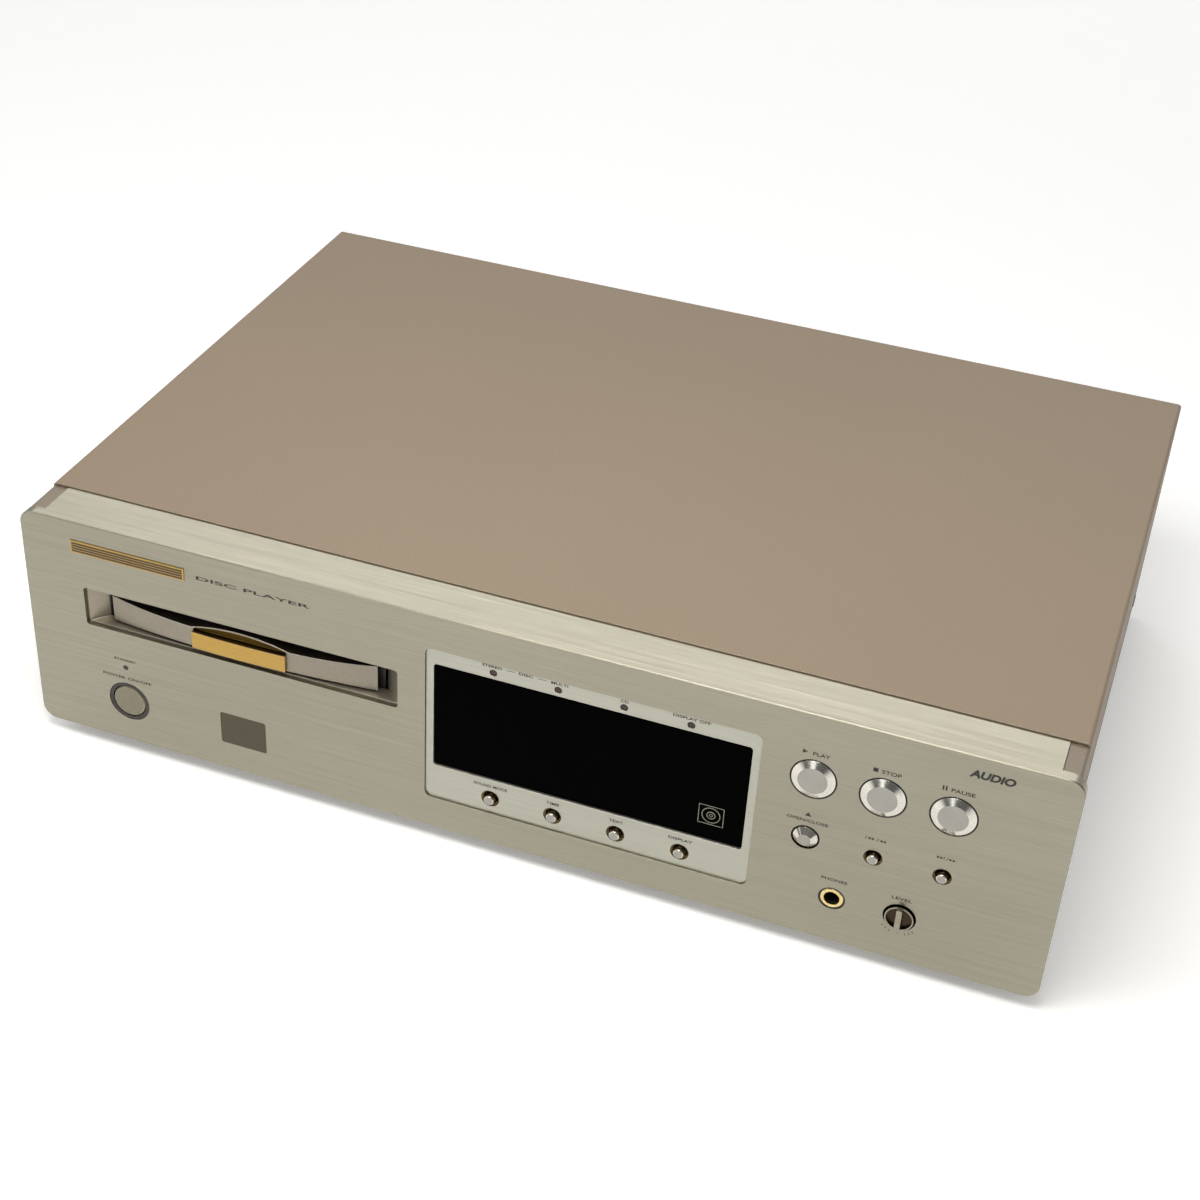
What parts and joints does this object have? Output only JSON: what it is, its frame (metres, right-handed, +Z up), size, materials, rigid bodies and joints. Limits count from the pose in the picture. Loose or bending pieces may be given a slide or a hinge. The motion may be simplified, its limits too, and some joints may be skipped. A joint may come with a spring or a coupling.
{
  "type": "cd player",
  "caption": "Hi-fi width disc player with a thick brushed panel, front-loading tray, wide display, round push buttons, headphone jack and level knob.",
  "frame": {"origin": "middle of the footprint, on the surface the feet stand on", "axes": "+X to the right seen from the front, +Y from the front panel to the rear, +Z up"},
  "size_m": [0.44, 0.308, 0.1156],
  "materials": {
    "panel_aluminium": "horizontally brushed, champagne silver anodised",
    "case_paint": "fine-textured champagne brown paint",
    "frame_paint": "satin champagne brown paint",
    "steel_sheet": "zinc-plated",
    "screw_steel": "plated",
    "foot_plastic": "fine-grained",
    "bezel_plastic": "satin silver paint",
    "tray_silver": "satin silver paint",
    "gilt": "polished gilt",
    "tray_plastic": "moulded",
    "window_black": "gloss",
    "eye_window": "satin dark grey",
    "lens_clear": "clear",
    "button_metal": "turned, satin face and polished bevel",
    "black_plastic": "moulded",
    "board_green": "solder mask",
    "tube_glass": "smoked",
    "capacitor_sleeve": "shrink sleeve",
    "gear_plastic": "natural acetal",
    "rubber_black": "matt",
    "motor_steel": "drawn",
    "polished_steel": "ground",
    "turntable_plastic": "moulded",
    "sled_metal": "die cast",
    "lens_plastic": "moulded",
    "core_steel": "laminated, varnished"
  },
  "bodies": {
    "chassis": {"front_panel": "panel_aluminium", "front_frame": "frame_paint", "top_cover": "case_paint", "chassis_base": "steel_sheet", "rear_panel": "frame_paint", "case_screws": "screw_steel", "feet": "foot_plastic", "tray_bezel": "bezel_plastic", "display_bezel": "bezel_plastic", "display_window": "window_black", "indicator_lenses": "lens_clear", "ir_window": "eye_window", "badge_plaque": "gilt", "standby_led": "lens_clear", "power_ring": "black_plastic", "phones_jack": "black_plastic", "phones_ring": "gilt", "control_board": "board_green", "power_board": "board_green", "display_board": "board_green", "front_switches": "black_plastic", "display_tube": "tube_glass", "main_board": "board_green", "board_capacitors": "capacitor_sleeve", "loader_frame": "tray_plastic", "drive_belt": "rubber_black", "loading_motor": "motor_steel", "clamp_bridge": "steel_sheet", "traverse_plate": "steel_sheet", "traverse_dampers": "rubber_black", "spindle_motor": "motor_steel", "guide_rods": "polished_steel", "feed_motor": "motor_steel", "transformer": "core_steel", "socket_blocks": "black_plastic", "socket_barrels": "gilt", "mains_inlet": "black_plastic"},
    "power_button": {"power_button": "button_metal"},
    "play_button": {"play_button": "button_metal"},
    "stop_button": {"stop_button": "button_metal"},
    "pause_button": {"pause_button": "button_metal"},
    "open_button": {"open_button": "button_metal"},
    "previous_button": {"previous_button": "button_metal"},
    "next_button": {"next_button": "button_metal"},
    "sound_key": {"sound_key": "button_metal"},
    "time_key": {"time_key": "button_metal"},
    "text_key": {"text_key": "button_metal"},
    "display_key": {"display_key": "button_metal"},
    "level_knob": {"level_knob": "button_metal"},
    "tray": {"disc_tray": "tray_plastic", "tray_door": "tray_silver", "tray_accent": "gilt"},
    "tray_gear": {"tray_gear": "gear_plastic"},
    "pulley_gear": {"pulley_gear": "gear_plastic"},
    "motor_pulley": {"motor_pulley": "gear_plastic"},
    "clamp_puck": {"clamp_puck": "turntable_plastic"},
    "turntable": {"turntable": "turntable_plastic"},
    "pickup_sled": {"pickup_sled": "sled_metal"},
    "objective_lens": {"objective_lens": "lens_plastic"},
    "feed_gear": {"feed_gear": "gear_plastic"}
  },
  "joints": [
    {"name": "play_button_press", "type": "slide", "parent": "chassis", "child": "play_button", "axis": [0, 1, 0], "range_m": [0, 0.0008], "stiffness_N_per_m": 400, "springref_m": -0.0008},
    {"name": "stop_button_press", "type": "slide", "parent": "chassis", "child": "stop_button", "axis": [0, 1, 0], "range_m": [0, 0.0008], "stiffness_N_per_m": 400, "springref_m": -0.0008},
    {"name": "pause_button_press", "type": "slide", "parent": "chassis", "child": "pause_button", "axis": [0, 1, 0], "range_m": [0, 0.0008], "stiffness_N_per_m": 400, "springref_m": -0.0008},
    {"name": "open_button_press", "type": "slide", "parent": "chassis", "child": "open_button", "axis": [0, 1, 0], "range_m": [0, 0.0008], "stiffness_N_per_m": 400, "springref_m": -0.0008},
    {"name": "previous_button_press", "type": "slide", "parent": "chassis", "child": "previous_button", "axis": [0, 1, 0], "range_m": [0, 0.0008], "stiffness_N_per_m": 400, "springref_m": -0.0008},
    {"name": "next_button_press", "type": "slide", "parent": "chassis", "child": "next_button", "axis": [0, 1, 0], "range_m": [0, 0.0008], "stiffness_N_per_m": 400, "springref_m": -0.0008},
    {"name": "sound_key_press", "type": "slide", "parent": "chassis", "child": "sound_key", "axis": [0, 1, 0], "range_m": [0, 0.0008], "stiffness_N_per_m": 400, "springref_m": -0.0008},
    {"name": "time_key_press", "type": "slide", "parent": "chassis", "child": "time_key", "axis": [0, 1, 0], "range_m": [0, 0.0008], "stiffness_N_per_m": 400, "springref_m": -0.0008},
    {"name": "text_key_press", "type": "slide", "parent": "chassis", "child": "text_key", "axis": [0, 1, 0], "range_m": [0, 0.0008], "stiffness_N_per_m": 400, "springref_m": -0.0008},
    {"name": "display_key_press", "type": "slide", "parent": "chassis", "child": "display_key", "axis": [0, 1, 0], "range_m": [0, 0.0008], "stiffness_N_per_m": 400, "springref_m": -0.0008},
    {"name": "power_button_press", "type": "slide", "parent": "chassis", "child": "power_button", "axis": [0, 1, 0], "range_m": [0, 0.003], "stiffness_N_per_m": 400, "springref_m": -0.001},
    {"name": "level_turn", "type": "hinge", "parent": "chassis", "child": "level_knob", "pos_m": [0.1629, -0.147, 0.0291], "axis": [0, -1, 0], "range_deg": [-150, 150]},
    {"name": "tray_slide", "type": "slide", "parent": "chassis", "child": "tray", "axis": [0, -1, 0], "range_m": [0, 0.14]},
    {"name": "tray_gear_turn", "type": "hinge", "parent": "chassis", "child": "tray_gear", "pos_m": [-0.15255, -0.113, 0.062], "axis": [0, 0, 1], "range_deg": [0, 802.54]},
    {"name": "pulley_gear_turn", "type": "hinge", "parent": "chassis", "child": "pulley_gear", "pos_m": [-0.13055, -0.113, 0.062], "axis": [0, 0, 1], "range_deg": [-2140.11, 0]},
    {"name": "motor_pulley_turn", "type": "hinge", "parent": "chassis", "child": "motor_pulley", "pos_m": [-0.09055, -0.113, 0.062], "axis": [0, 0, 1], "range_deg": [-6420.34, 0]},
    {"name": "turntable_spin", "type": "hinge", "parent": "chassis", "child": "turntable", "pos_m": [-0.1208, -0.075, 0.073], "axis": [0, 0, 1], "continuous": true},
    {"name": "clamp_puck_spin", "type": "hinge", "parent": "chassis", "child": "clamp_puck", "pos_m": [-0.1208, -0.075, 0.087], "axis": [0, 0, 1], "continuous": true},
    {"name": "sled_slide", "type": "slide", "parent": "chassis", "child": "pickup_sled", "axis": [0, 1, 0], "range_m": [0, 0.034]},
    {"name": "feed_gear_turn", "type": "hinge", "parent": "chassis", "child": "feed_gear", "pos_m": [-0.1578, -0.019, 0.064], "axis": [0, 0, 1], "range_deg": [0, 324.84]},
    {"name": "lens_focus", "type": "slide", "parent": "pickup_sled", "child": "objective_lens", "axis": [0, 0, 1], "range_m": [-0.0005, 0.0005], "stiffness_N_per_m": 150}
  ],
  "couplings": [
    {"joint": "tray_gear_turn", "follows": "tray_slide", "rad_per_m": 100},
    {"joint": "pulley_gear_turn", "follows": "tray_slide", "rad_per_m": -266.67},
    {"joint": "motor_pulley_turn", "follows": "tray_slide", "rad_per_m": -800},
    {"joint": "feed_gear_turn", "follows": "sled_slide", "rad_per_m": 166.67}
  ]
}
